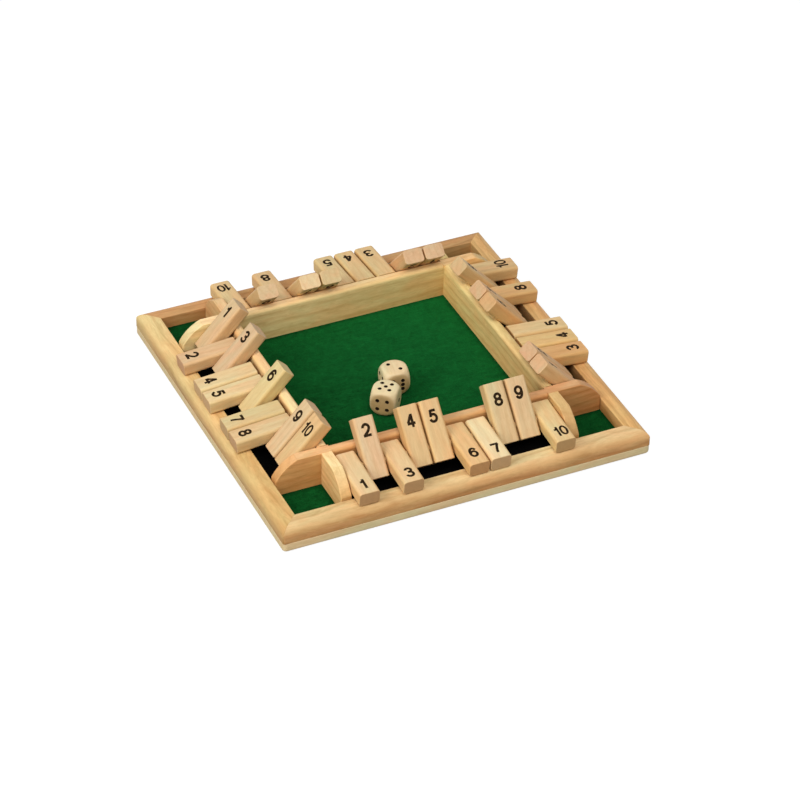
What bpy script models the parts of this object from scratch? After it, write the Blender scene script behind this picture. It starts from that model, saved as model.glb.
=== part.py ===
"""Four-player shut the box board: a square wooden board with a felt arena and forty hinged tiles.

Lengths are in metres and angles in degrees. The origin is the middle of the board's underside, +X runs
along the near rail, +Y away from the near player and +Z up. The four sides of the board are alike, so a
side is built once, in the near side's frame, and a quarter turn about the vertical sets the next one.
"""

import math

import bmesh
import bpy
from mathutils import Matrix, Vector

# Clearances
SEAT_GAP = 0.0003           # between pieces that touch on the real board
CUT_OVERRUN = 0.001         # how far a cutter runs past the face that it opens

# Arena walls, which cross-lap at the arena's corners
ARENA_SIDE = 0.1774
WALL_THICKNESS = 0.0085
WALL_HEIGHT = 0.0283
WALL_ROUNDING = 0.003       # along the top edges
WALL_ROUNDING_STEPS = 3
LAP_SHARE = 0.5             # of the wall's height, left above the notch that is open below

# Cheeks, the walls' ends beyond the corners, which close the tile wells and carry the rods
CHEEK_CAP = 0.0043          # level top, past the rod's axis
CHEEK_NOSE_HEIGHT = 0.0124  # where the curve meets the rail, above the wall's underside
CHEEK_BELLY = 0.0021        # how far the curve swells past the straight line between its ends
CHEEK_STEPS = 8

# Wells and rails
WELL_WIDTH = 0.037
RAIL_WIDTH = 0.0158
RAIL_HEIGHT = 0.0122
RAIL_ROUNDING = 0.008       # of the outer top edge
RAIL_ROUNDING_STEPS = 6
RAIL_EASING = 0.0008        # of the inner top edge
RAIL_EASING_STEPS = 2
RAIL_FOOT_CHAMFER = 0.0005
RAIL_CORNER_RADIUS = 0.0025
RAIL_CORNER_STEPS = 4

# Base board, felt and well liners
BOARD_THICKNESS = 0.008
BOARD_CORNER_RADIUS = 0.0035
BOARD_FOOT_ROUNDING = 0.003
BOARD_TOP_CHAMFER = 0.0006
BOARD_STEPS = 4
FELT_THICKNESS = 0.0016
LINER_THICKNESS = 0.0008

# Pivot rods
ROD_RADIUS = 0.0025
ROD_SETBACK = 0.0145        # from the wall's outer face to the rod's axis
ROD_HEIGHT = 0.0194         # of the axis above the wall's underside
ROD_CLEARANCE = 0.0003      # round the rod, in the sockets and in the tiles
ROD_SOCKET_DEPTH = 0.0063
ROD_END_CHAMFER = 0.0004
ROD_SIDES = 16

# Tiles
TILES_PER_SIDE = 10
TILE_SPACING = 0.00134      # between neighbouring tiles
TILE_RAIL_LAP = 0.012       # how far a tile that is down reaches over the rail
TILE_UPPER_HALF = 0.0054    # from the rod's axis to the face that is up when the tile is down
TILE_LOWER_HALF = 0.0062    # from the rod's axis to the face that lies on the rail
TILE_HEEL_CLEARANCE = 0.00055   # between the turning heel and the wall
TILE_LONG_ROUNDING = 0.0025
TILE_ROUNDING_STEPS = 3
TILE_END_CHAMFER = 0.0005
TILE_BORE_SIDES = 12

# Dice
DIE_EDGE = 0.021
DIE_BALL_RADIUS = 0.014     # of the ball that a die's edges and corners are turned down to
DIE_BALL_STEPS = 4
PIP_RADIUS = 0.0015
PIP_FLOOR_RADIUS = 0.0010
PIP_DEPTH = 0.0007
PIP_SPACING = 0.0038        # from the middle of a face to its outer pips
PIP_SIDES = 8
FRONT_DIE_ARENA_SHARES = (-0.0882, -0.1768)     # of the arena's side, from the middle of the board
REAR_DIE_EDGE_SHARES = (0.786, 0.998)           # of a die's edge, from the front die
FRONT_DIE_TURN = -39.2
REAR_DIE_TURN = -7.0

SHARP_ANGLE = 30.0

# Places that follow from the sizes: distances out from the middle of the board, and heights
WALL_INNER = ARENA_SIDE / 2
WALL_OUTER = WALL_INNER + WALL_THICKNESS
RAIL_INNER = WALL_OUTER + WELL_WIDTH
RAIL_OUTER = RAIL_INNER + RAIL_WIDTH
ROD_OUT = WALL_OUTER + ROD_SETBACK
RAIL_BASE = BOARD_THICKNESS + SEAT_GAP
RAIL_TOP = RAIL_BASE + RAIL_HEIGHT
FELT_TOP = RAIL_BASE + FELT_THICKNESS
WALL_BASE = FELT_TOP + SEAT_GAP
WALL_TOP = WALL_BASE + WALL_HEIGHT
ROD_Z = WALL_BASE + ROD_HEIGHT

TILE_PITCH = ARENA_SIDE / TILES_PER_SIDE
TILE_WIDTH = TILE_PITCH - TILE_SPACING
TILE_REACH = RAIL_INNER + TILE_RAIL_LAP - ROD_OUT
TILE_HEEL = math.sqrt((ROD_SETBACK - TILE_HEEL_CLEARANCE) ** 2 - TILE_LOWER_HALF ** 2)

# The sides in anticlockwise order seen from above, and the tiles that stand flipped on each
SIDES = ("near", "right", "far", "left")
FLIPPED_TILES = {
    "near": {2, 4, 5, 8, 9},
    "right": {1, 2, 6, 7, 9},
    "far": {1, 2, 6, 7, 9},
    "left": {1, 3, 6, 9, 10},
}
WALLS_NOTCHED_BELOW = {"near", "far"}

# Pips on each face, as axis, sense and count, with opposite faces adding up to seven
FRONT_DIE_FACES = (("Z", 1, 5), ("Z", -1, 2), ("Y", -1, 4), ("Y", 1, 3), ("X", 1, 1), ("X", -1, 6))
REAR_DIE_FACES = (("Z", 1, 2), ("Z", -1, 5), ("Y", -1, 6), ("Y", 1, 1), ("X", -1, 4), ("X", 1, 3))
PIP_PATTERNS = {
    1: ((0, 0),),
    2: ((-1, 1), (1, -1)),
    3: ((-1, 1), (0, 0), (1, -1)),
    4: ((-1, 1), (1, 1), (-1, -1), (1, -1)),
    5: ((-1, 1), (1, 1), (0, 0), (-1, -1), (1, -1)),
    6: ((-1, 1), (1, 1), (-1, 0), (1, 0), (-1, -1), (1, -1)),
}

# Finishes, as base colour and roughness
FINISHES = {
    "board_wood": ((0.66, 0.47, 0.24), 0.55),
    "rail_wood": ((0.68, 0.45, 0.22), 0.50),
    "wall_wood": ((0.62, 0.42, 0.21), 0.50),
    "rod_wood": ((0.60, 0.40, 0.20), 0.55),
    "tile_wood": ((0.70, 0.50, 0.28), 0.50),
    "die_wood": ((0.80, 0.66, 0.42), 0.45),
    "green_felt": ((0.01, 0.10, 0.03), 0.95),
    "black_liner": ((0.01, 0.01, 0.01), 0.85),
}


def clear_scene():
    """Remove every object that the file holds."""
    for item in list(bpy.data.objects):
        bpy.data.objects.remove(item, do_unlink=True)


def finish(name):
    """Return the named finish, and make it the first time that it is asked for."""
    material = bpy.data.materials.get(name)
    if material is None:
        colour, roughness = FINISHES[name]
        material = bpy.data.materials.new(name)
        material.use_nodes = True
        shader = material.node_tree.nodes["Principled BSDF"]
        shader.inputs["Base Color"].default_value = (*colour, 1.0)
        shader.inputs["Roughness"].default_value = roughness
        shader.inputs["Metallic"].default_value = 0.0
    return material


def to_mesh(form, name):
    """Turn a bmesh form into a mesh with outward faces, smooth where its faces meet gently."""
    bmesh.ops.recalc_face_normals(form, faces=form.faces)
    mesh = bpy.data.meshes.new(name)
    form.to_mesh(mesh)
    form.free()
    mesh.shade_smooth()
    mesh.set_sharp_from_angle(angle=math.radians(SHARP_ANGLE))
    return mesh


def add_object(name, mesh, material_name, parent=None, location=(0, 0, 0)):
    """Place a mesh in the scene as a named piece with its finish."""
    if not mesh.materials:
        mesh.materials.append(finish(material_name))
    piece = bpy.data.objects.new(name, mesh)
    piece.location = location
    piece.parent = parent
    bpy.context.scene.collection.objects.link(piece)
    return piece


def block(low, high):
    """Return a box form between two opposite corners."""
    low = Vector(low)
    size = Vector(high) - low
    form = bmesh.new()
    bmesh.ops.create_cube(form, size=1)
    bmesh.ops.transform(form, matrix=Matrix.Translation(low + size / 2) @ Matrix.Diagonal(size).to_4x4(),
                        verts=form.verts)
    return form


def edges_where(form, test):
    """Return the edges whose two ends both pass a test on their place."""
    return [edge for edge in form.edges if all(test(end.co) for end in edge.verts)]


def edges_along(form, axis):
    """Return the edges that run along axis 0, 1 or 2."""
    found = []
    for edge in form.edges:
        span = edge.verts[1].co - edge.verts[0].co
        if abs(span[axis]) > SEAT_GAP and span.length - abs(span[axis]) < SEAT_GAP * SEAT_GAP:
            found.append(edge)
    return found


def round_edges(form, edges, radius, steps):
    """Round edges with a radius, or chamfer them where steps is 1."""
    bmesh.ops.bevel(form, geom=edges, offset=radius, offset_type="OFFSET", segments=steps, profile=0.5,
                    affect="EDGES", clamp_overlap=True)


def arc(centre, radius, start, end, steps):
    """Return the points of an arc in a plane, both ends included."""
    points = []
    for step in range(steps + 1):
        angle = math.radians(start + (end - start) * step / steps)
        points.append((centre[0] + radius * math.cos(angle), centre[1] + radius * math.sin(angle)))
    return points


def swelling_curve(start, end, belly, steps):
    """Return the points of an arc from start to end that swells to the left of that line."""
    start = Vector(start)
    chord = Vector(end) - start
    half = chord.length / 2
    radius = (half * half + belly * belly) / (2 * belly)
    along = chord.normalized()
    left = Vector((-along.y, along.x))
    sweep = math.asin(half / radius)
    points = []
    for step in range(steps + 1):
        angle = sweep * (2 * step / steps - 1)
        place = start + along * (half + radius * math.sin(angle))
        points.append(place + left * (belly - radius + radius * math.cos(angle)))
    return points


def prism(form, outline, low, high, place):
    """Add a closed prism to a form: place turns an outline point and a depth into a position."""
    rings = [[form.verts.new(place(point, depth)) for point in outline] for depth in (low, high)]
    for ring in rings:
        form.faces.new(ring)
    for here in range(len(outline)):
        there = (here + 1) % len(outline)
        form.faces.new((rings[0][here], rings[0][there], rings[1][there], rings[1][here]))
    return rings


def cylinder(form, radius, length, sides, matrix, end_radius=None):
    """Add a cylinder or a cone to a form, along the Z axis of a matrix and centred on it."""
    bmesh.ops.create_cone(form, cap_ends=True, cap_tris=False, segments=sides, radius1=radius,
                          radius2=radius if end_radius is None else end_radius, depth=length, matrix=matrix)


def carved(blank, cutter, operation="DIFFERENCE"):
    """Return a blank form with a cutter form taken out of it, or with only what lies in the cutter kept."""
    pieces = []
    for form, name in ((blank, "blank"), (cutter, "cutter")):
        bmesh.ops.recalc_face_normals(form, faces=form.faces)
        mesh = bpy.data.meshes.new(name)
        form.to_mesh(mesh)
        form.free()
        piece = bpy.data.objects.new(name, mesh)
        bpy.context.scene.collection.objects.link(piece)
        pieces.append(piece)
    stock, tool = pieces
    cut = stock.modifiers.new("cut", "BOOLEAN")
    cut.operation = operation
    cut.solver = "EXACT"
    cut.object = tool
    graph = bpy.context.evaluated_depsgraph_get()
    result = bpy.data.meshes.new_from_object(stock.evaluated_get(graph))
    for piece in pieces:
        bpy.data.objects.remove(piece, do_unlink=True)
    form = bmesh.new()
    form.from_mesh(result)
    bpy.data.meshes.remove(result)
    return form


def base_board():
    """The board under everything, with rounded corners and a rounded lower edge."""
    form = block((-RAIL_OUTER, -RAIL_OUTER, 0), (RAIL_OUTER, RAIL_OUTER, BOARD_THICKNESS))
    round_edges(form, edges_along(form, 2), BOARD_CORNER_RADIUS, BOARD_STEPS)
    half = BOARD_THICKNESS / 2
    lower = edges_where(form, lambda place: place.z < half)
    round_edges(form, lower, BOARD_FOOT_ROUNDING, BOARD_STEPS)
    rim = BOARD_THICKNESS - SEAT_GAP
    upper = edges_where(form, lambda place: place.z > rim)
    round_edges(form, upper, BOARD_TOP_CHAMFER, 1)
    add_object("base_board", to_mesh(form, "base_board"), "board_wood")


def felt_sheet():
    """One sheet of felt between the rails, under the walls."""
    edge = RAIL_INNER - SEAT_GAP
    form = block((-edge, -edge, RAIL_BASE), (edge, edge, FELT_TOP))
    add_object("felt_sheet", to_mesh(form, "felt_sheet"), "green_felt")


def liner_mesh():
    """The black floor of a tile well, between the wall, the rail and the two cheeks."""
    half = WALL_INNER - SEAT_GAP
    form = block((-half, -RAIL_INNER + SEAT_GAP, WALL_BASE),
                 (half, -WALL_OUTER - SEAT_GAP, WALL_BASE + LINER_THICKNESS))
    return to_mesh(form, "well_liner")


def rail_outline():
    """The rail's section as distance out and height: level inside, rounded over outside."""
    points = [
        (RAIL_INNER, RAIL_BASE),
        (RAIL_OUTER - RAIL_FOOT_CHAMFER, RAIL_BASE),
        (RAIL_OUTER, RAIL_BASE + RAIL_FOOT_CHAMFER),
    ]
    points += arc((RAIL_OUTER - RAIL_ROUNDING, RAIL_TOP - RAIL_ROUNDING), RAIL_ROUNDING, 0, 90,
                  RAIL_ROUNDING_STEPS)
    points += arc((RAIL_INNER + RAIL_EASING, RAIL_TOP - RAIL_EASING), RAIL_EASING, 90, 180,
                  RAIL_EASING_STEPS)
    return points


def rail_mesh():
    """A rail with mitred ends, whose outer corners are rounded."""
    mitre_gap = SEAT_GAP / math.sqrt(2)
    form = bmesh.new()

    def mitred(point, sense):
        """Put a section point on the mitre at one end of the rail."""
        return sense * (point[0] - mitre_gap), -point[0], point[1]

    prism(form, rail_outline(), -1, 1, mitred)

    reach = RAIL_OUTER + CUT_OVERRUN
    centre = RAIL_OUTER - RAIL_CORNER_RADIUS
    corner = arc((centre, -centre), RAIL_CORNER_RADIUS, -90, 0, RAIL_CORNER_STEPS)
    first = Vector(corner[0])
    last = Vector(corner[-1])
    corner[0] = first + (first - Vector(corner[1])).normalized() * CUT_OVERRUN
    corner[-1] = last + (last - Vector(corner[-2])).normalized() * CUT_OVERRUN
    corner.append((reach, -reach))
    cutter = bmesh.new()
    for sense in (-1, 1):
        prism(cutter, corner, RAIL_BASE - CUT_OVERRUN, RAIL_TOP + CUT_OVERRUN,
              lambda point, z, sense=sense: (sense * point[0], point[1], z))
    return to_mesh(carved(form, cutter), "rail")


def wall_outline():
    """The wall's side view as distance along and height, with a curved cheek at each end."""
    end = RAIL_INNER - SEAT_GAP
    curve = swelling_curve((ROD_OUT + CHEEK_CAP, WALL_TOP), (end, WALL_BASE + CHEEK_NOSE_HEIGHT), CHEEK_BELLY,
                           CHEEK_STEPS)
    right = [(end, WALL_BASE)] + [(point.x, point.y) for point in reversed(curve)]
    left = [(-point[0], point[1]) for point in reversed(right)]
    return right + left


def wall_mesh(notched_below):
    """An arena wall with its two cheeks, rod sockets and cross-lap notches.

    The walls of one pair are notched from below and lie over the walls of the other pair, which are
    notched from above.
    """
    form = bmesh.new()
    rings = prism(form, wall_outline(), -WALL_OUTER, -WALL_INNER, lambda point, y: (point[0], y, point[1]))
    bottom = WALL_BASE + SEAT_GAP
    rims = []
    for ring in rings:
        members = set(ring)
        for edge in form.edges:
            if set(edge.verts) <= members and max(end.co.z for end in edge.verts) > bottom:
                rims.append(edge)
    round_edges(form, rims, WALL_ROUNDING, WALL_ROUNDING_STEPS)

    lap = WALL_BASE + WALL_HEIGHT * LAP_SHARE
    if notched_below:
        notch_low = WALL_BASE - CUT_OVERRUN
        notch_high = lap + SEAT_GAP / 2
    else:
        notch_low = lap - SEAT_GAP / 2
        notch_high = WALL_TOP + CUT_OVERRUN
    cutter = bmesh.new()
    for sense in (-1, 1):
        ends = sorted((sense * (WALL_INNER - SEAT_GAP), sense * (WALL_OUTER + SEAT_GAP)))
        notch = [(ends[0], notch_low), (ends[1], notch_low), (ends[1], notch_high), (ends[0], notch_high)]
        prism(cutter, notch, -WALL_OUTER - CUT_OVERRUN, -WALL_INNER + CUT_OVERRUN,
              lambda point, y: (point[0], y, point[1]))
        depth = ROD_SOCKET_DEPTH + CUT_OVERRUN
        middle = -WALL_INNER + CUT_OVERRUN - depth / 2
        socket = Matrix.Translation((sense * ROD_OUT, middle, ROD_Z)) @ Matrix.Rotation(math.pi / 2, 4, "X")
        cylinder(cutter, ROD_RADIUS + ROD_CLEARANCE, depth, ROD_SIDES, socket)
    return to_mesh(carved(form, cutter), "wall")


def rod_mesh():
    """A dowel that carries one side's tiles, with its ends in the two cheeks."""
    length = 2 * (WALL_INNER + ROD_SOCKET_DEPTH - SEAT_GAP)
    form = bmesh.new()
    cylinder(form, ROD_RADIUS, length, ROD_SIDES, Matrix.Rotation(math.pi / 2, 4, "Y"))
    inside = length / 2 - SEAT_GAP
    rims = edges_where(form, lambda place: abs(place.x) > inside)
    rims = [edge for edge in rims if edge.verts[0].co.x * edge.verts[1].co.x > 0]
    round_edges(form, rims, ROD_END_CHAMFER, 1)
    return to_mesh(form, "pivot_rod")


def tile_mesh():
    """A tile with its bore on the origin: free end towards -Y, heel towards +Y, width along X."""
    form = block((-TILE_WIDTH / 2, -TILE_REACH, -TILE_LOWER_HALF),
                 (TILE_WIDTH / 2, TILE_HEEL, TILE_UPPER_HALF))
    round_edges(form, edges_along(form, 1), TILE_LONG_ROUNDING, TILE_ROUNDING_STEPS)
    free_end = -TILE_REACH + SEAT_GAP
    heel_end = TILE_HEEL - SEAT_GAP
    ends = edges_where(form, lambda place: place.y < free_end)
    ends += edges_where(form, lambda place: place.y > heel_end)
    round_edges(form, ends, TILE_END_CHAMFER, 1)
    cutter = bmesh.new()
    cylinder(cutter, ROD_RADIUS + ROD_CLEARANCE, TILE_WIDTH + 2 * CUT_OVERRUN, TILE_BORE_SIDES,
             Matrix.Rotation(math.pi / 2, 4, "Y"))
    return to_mesh(carved(form, cutter), "tile")


def down_tilt():
    """How far a tile that is down slopes below the level, with its face on the rail's rounded edge."""
    out = RAIL_OUTER - RAIL_ROUNDING - ROD_OUT
    drop = ROD_Z - (RAIL_TOP - RAIL_ROUNDING)
    offset = TILE_LOWER_HALF + RAIL_ROUNDING + SEAT_GAP
    return math.degrees(math.atan2(drop, out) - math.asin(offset / math.hypot(out, drop)))


def flipped_lean():
    """How far a flipped tile stands above the level, leaning inwards on the wall's rounded edge."""
    back = ROD_OUT - (WALL_OUTER - WALL_ROUNDING)
    rise = WALL_TOP - WALL_ROUNDING - ROD_Z
    offset = TILE_UPPER_HALF + WALL_ROUNDING + SEAT_GAP
    return math.degrees(math.atan2(rise, back) + math.asin(offset / math.hypot(back, rise)))


def die_mesh(name, faces):
    """A die: a cube whose edges and corners are turned down to a ball, with a drilled pip for each spot."""
    half = DIE_EDGE / 2
    ball = bmesh.new()
    bmesh.ops.create_icosphere(ball, subdivisions=DIE_BALL_STEPS, radius=DIE_BALL_RADIUS)
    form = carved(block((-half, -half, -half), (half, half, half)), ball, "INTERSECT")
    turns = {
        ("Z", 1): Matrix(),
        ("Z", -1): Matrix.Rotation(math.pi, 4, "X"),
        ("Y", -1): Matrix.Rotation(math.pi / 2, 4, "X"),
        ("Y", 1): Matrix.Rotation(-math.pi / 2, 4, "X"),
        ("X", 1): Matrix.Rotation(math.pi / 2, 4, "Z") @ Matrix.Rotation(math.pi / 2, 4, "X"),
        ("X", -1): Matrix.Rotation(-math.pi / 2, 4, "Z") @ Matrix.Rotation(math.pi / 2, 4, "X"),
    }
    # The drill widens past the surface by as much as it does below it, so its rim there stays true
    slope = (PIP_RADIUS - PIP_FLOOR_RADIUS) / PIP_DEPTH
    mouth = PIP_RADIUS + slope * CUT_OVERRUN
    length = PIP_DEPTH + CUT_OVERRUN
    middle = half + CUT_OVERRUN - length / 2
    cutter = bmesh.new()
    for axis, sense, count in faces:
        for across, up in PIP_PATTERNS[count]:
            place = Matrix.Translation((across * PIP_SPACING, up * PIP_SPACING, middle))
            cylinder(cutter, PIP_FLOOR_RADIUS, length, PIP_SIDES, turns[axis, sense] @ place, mouth)
    return to_mesh(carved(form, cutter), name)


def add_dice():
    """Two dice on the felt, thrown near each other."""
    height = FELT_TOP + SEAT_GAP + DIE_EDGE / 2
    front = Vector([share * ARENA_SIDE for share in FRONT_DIE_ARENA_SHARES])
    rear = front + Vector([share * DIE_EDGE for share in REAR_DIE_EDGE_SHARES])
    for name, faces, place, turn in (("die_front", FRONT_DIE_FACES, front, FRONT_DIE_TURN),
                                     ("die_rear", REAR_DIE_FACES, rear, REAR_DIE_TURN)):
        die = add_object(name, die_mesh(name, faces), "die_wood", location=(place.x, place.y, height))
        die.rotation_euler.z = math.radians(turn)


def add_side(side, quarter_turns, meshes):
    """One side of the board: its rail, liner, wall, rod and tiles, under an empty that turns them."""
    frame = bpy.data.objects.new("side_" + side, None)
    frame.rotation_euler.z = quarter_turns * math.pi / 2
    bpy.context.scene.collection.objects.link(frame)
    add_object("rail_" + side, meshes["rail"], "rail_wood", frame)
    add_object("well_liner_" + side, meshes["liner"], "black_liner", frame)
    wall = "wall_over" if side in WALLS_NOTCHED_BELOW else "wall_under"
    add_object("wall_" + side, meshes[wall], "wall_wood", frame)
    add_object("pivot_rod_" + side, meshes["rod"], "rod_wood", frame, (0, -ROD_OUT, ROD_Z))
    down = math.radians(down_tilt())
    flipped = math.radians(flipped_lean() - 180)
    for number in range(1, TILES_PER_SIDE + 1):
        along = -WALL_INNER + (number - 0.5) * TILE_PITCH
        tile = add_object(f"tile_{side}_{number:02d}", meshes["tile"], "tile_wood", frame,
                          (along, -ROD_OUT, ROD_Z))
        tile.rotation_euler.x = flipped if number in FLIPPED_TILES[side] else down


def build():
    """Model the whole board."""
    clear_scene()
    base_board()
    felt_sheet()
    meshes = {
        "rail": rail_mesh(),
        "liner": liner_mesh(),
        "wall_over": wall_mesh(True),
        "wall_under": wall_mesh(False),
        "rod": rod_mesh(),
        "tile": tile_mesh(),
    }
    for quarter_turns, side in enumerate(SIDES):
        add_side(side, quarter_turns, meshes)
    add_dice()


build()
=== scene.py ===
"""A shut the box board for four players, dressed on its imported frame.

A square board carries a felt arena between four low walls, a bank of ten hinged number tiles on each side
and two wooden dice. Lengths are in metres, and angles in degrees unless their words say radians. The origin
is the middle of the board's underside, +X runs along the near rail, +Y away from the near player and +Z up.
The four sides are alike, so each kind of piece is shaped once in the near side's place, and copies of it
are turned to the other sides.
"""

import logging
import math
import random
from collections.abc import Callable, Iterable, Sequence
from dataclasses import dataclass, field
from enum import Enum

import bmesh
import bpy
from mathutils import Matrix, Vector, noise

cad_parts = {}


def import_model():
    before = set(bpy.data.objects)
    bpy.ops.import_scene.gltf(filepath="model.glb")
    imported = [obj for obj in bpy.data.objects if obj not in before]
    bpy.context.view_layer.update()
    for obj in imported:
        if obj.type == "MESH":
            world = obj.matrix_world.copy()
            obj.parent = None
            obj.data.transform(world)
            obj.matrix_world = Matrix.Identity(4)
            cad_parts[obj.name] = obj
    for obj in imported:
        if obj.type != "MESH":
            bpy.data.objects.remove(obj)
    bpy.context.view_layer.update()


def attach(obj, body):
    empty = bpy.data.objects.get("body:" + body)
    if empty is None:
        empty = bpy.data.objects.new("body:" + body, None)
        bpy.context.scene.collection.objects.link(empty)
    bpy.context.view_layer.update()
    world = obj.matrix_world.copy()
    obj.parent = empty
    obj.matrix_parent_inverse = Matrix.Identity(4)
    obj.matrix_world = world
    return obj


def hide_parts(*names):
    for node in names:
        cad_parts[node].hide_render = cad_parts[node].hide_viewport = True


LOG = logging.getLogger("shut_the_box")

Triple = tuple[float, float, float]
Colour = tuple[float, float, float]
Point = tuple[float, float]
Cut = tuple[Triple, Triple]
EdgeTest = Callable[[Vector, Vector], bool]
Socket = bpy.types.NodeSocket
Material = bpy.types.Material

QUARTER = math.pi / 2
CLOSE = 1e-5
STRAIGHT = 1e-6
LEAST_EDGE = 1e-4
PITH_REACH = (0.045, 0.11)
LOG_HALF = 9.0
PLAIN: Colour = (1.0, 1.0, 1.0)


class Side(Enum):
    """The four sides of the board, in anticlockwise order seen from above."""

    NEAR = 0
    RIGHT = 1
    FAR = 2
    LEFT = 3

    @property
    def label(self) -> str:
        """The side's name as the frame's nodes have it."""
        return self.name.lower()

    @property
    def turn(self) -> Matrix:
        """The quarter turns that take a piece from the near side to this one."""
        return Matrix.Rotation(self.value * QUARTER, 4, "Z")


def each_side(*values: object) -> object:
    """Give a dataclass a table of one value for each side, in the order of the sides."""
    return field(default_factory=lambda: dict(zip(Side, values)))


class Axis(Enum):
    """The axis of a piece that its grain runs along, before the piece is put in place."""

    X = 0
    Y = 1


class Tone(Enum):
    """The tones that the tiles' wood comes in, as factors on the finish's colour."""

    CREAM = (1.16, 1.20, 1.28)
    STRAW = (1.04, 1.08, 0.98)
    TAN = (1.00, 1.00, 1.00)
    OAT = (1.09, 1.15, 1.20)
    ROSE = (1.02, 0.95, 1.02)
    AMBER = (1.02, 0.93, 0.84)


@dataclass(frozen=True)
class Layout:
    """The board's main lines, as distances out from its middle and heights above its underside.

    The last seven follow from the sizes above them: a wall's inner and outer face, a rail's inner and outer
    face, the walls' top, and how far out and how high a dowel's axis is.
    """

    hairline: float = 0.00004
    arena_side: float = 0.1774
    wall_thickness: float = 0.0085
    wall_height: float = 0.0283
    well_width: float = 0.037
    rail_width: float = 0.0158
    board_thickness: float = 0.008
    felt_top: float = 0.0101
    wall_base: float = 0.0102
    rail_top: float = 0.0205
    rod_setback: float = 0.0145
    rod_height: float = 0.0194
    socket_depth: float = 0.0063
    end_play: float = 0.0003
    wall_inner: float = arena_side / 2
    wall_outer: float = wall_inner + wall_thickness
    rail_inner: float = wall_outer + well_width
    rail_outer: float = rail_inner + rail_width
    wall_top: float = wall_base + wall_height
    rod_out: float = wall_outer + rod_setback
    rod_z: float = wall_base + rod_height


@dataclass(frozen=True)
class Toning:
    """How a piece departs from its finish.

    The colours are factors on the finish's own: all over, a painted shade at the foot fading out upwards,
    along the topmost edge, and from one end of the grain to the other. The rest says how far the end grain
    has darkened, and how much painted highlight the end grain and painted sheen the level faces take.
    """

    tint: Colour = PLAIN
    foot: Colour = PLAIN
    crown: Colour = PLAIN
    run: Colour = PLAIN
    end_depth: float = 1.0
    end_wear: float = 0.0
    top_wear: float = 0.0


@dataclass(frozen=True)
class Sawing:
    """Where in the log a piece was sawn from, which decides the figure of its faces, and its toning."""

    along: Axis
    start: float
    pith: Point
    toning: Toning = Toning()

    @classmethod
    def pick(cls, chance: random.Random, along: Axis, bearing: Point,
             toning: Toning = Toning()) -> "Sawing":
        """Pick a place in the log.

        Args:
            chance: The seeded source of chance.
            along: The axis that the grain runs along.
            bearing: The least and greatest angle to the log's heart.
            toning: The piece's toning.

        Returns:
            The place in the log.
        """
        angle = math.radians(chance.uniform(*bearing))
        away = chance.uniform(*PITH_REACH)
        pith = (away * math.cos(angle), away * math.sin(angle))
        return cls(along, chance.uniform(-LOG_HALF, LOG_HALF), pith, toning)


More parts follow.
